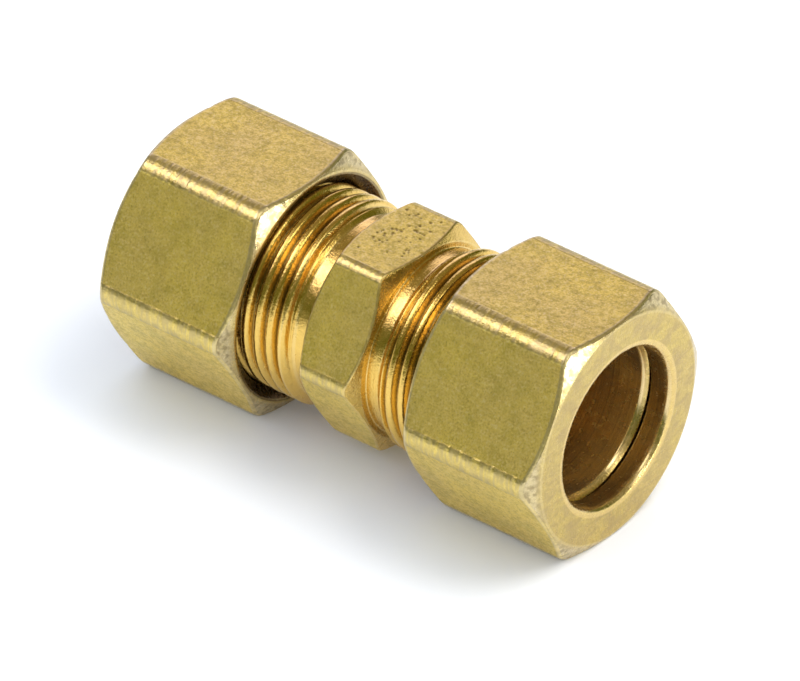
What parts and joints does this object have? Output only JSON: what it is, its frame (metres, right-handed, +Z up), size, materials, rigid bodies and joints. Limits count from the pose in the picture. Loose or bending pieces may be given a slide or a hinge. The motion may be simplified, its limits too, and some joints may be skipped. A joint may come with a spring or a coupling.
{
  "type": "compression fitting",
  "caption": "Straight brass compression union: a hexagon body with threaded stubs and tube sockets, and on each end a hexagon nut that holds a loose sleeve.",
  "frame": {"origin": "middle of the body, on the bore's axis, which is the middle of the whole fitting at rest", "axes": "X along the bore, with the nut nearer the viewer of the picture at +X; +Z up, square to the nuts' top flats; Y level"},
  "size_m": [0.0516, 0.027, 0.0238],
  "materials": {
    "body_brass": "satin, turned threads brighter",
    "nut_brass": "satin, tumbled",
    "sleeve_brass": "turned, semi-bright"
  },
  "bodies": {
    "union_body": {"union_body": "body_brass"},
    "right_sleeve": {"right_sleeve": "sleeve_brass"},
    "right_nut": {"right_nut": "nut_brass"},
    "left_sleeve": {"left_sleeve": "sleeve_brass"},
    "left_nut": {"left_nut": "nut_brass"}
  },
  "joints": [
    {"name": "right_sleeve_slide", "type": "slide", "parent": "union_body", "child": "right_sleeve", "axis": [1, 0, 0], "range_m": [-0.00141, 0.00565]},
    {"name": "right_nut_turn", "type": "hinge", "parent": "right_sleeve", "child": "right_nut", "pos_m": [0.01795, 0, 0], "axis": [1, 0, 0], "range_deg": [-360, 1440]},
    {"name": "left_sleeve_slide", "type": "slide", "parent": "union_body", "child": "left_sleeve", "axis": [-1, 0, 0], "range_m": [-0.00141, 0.00565]},
    {"name": "left_nut_turn", "type": "hinge", "parent": "left_sleeve", "child": "left_nut", "pos_m": [-0.01795, 0, 0], "axis": [-1, 0, 0], "range_deg": [-360, 1440]}
  ],
  "couplings": [
    {"joint": "right_sleeve_slide", "follows": "right_nut_turn", "m_per_rad": 0.00022459},
    {"joint": "left_sleeve_slide", "follows": "left_nut_turn", "m_per_rad": 0.00022459}
  ]
}
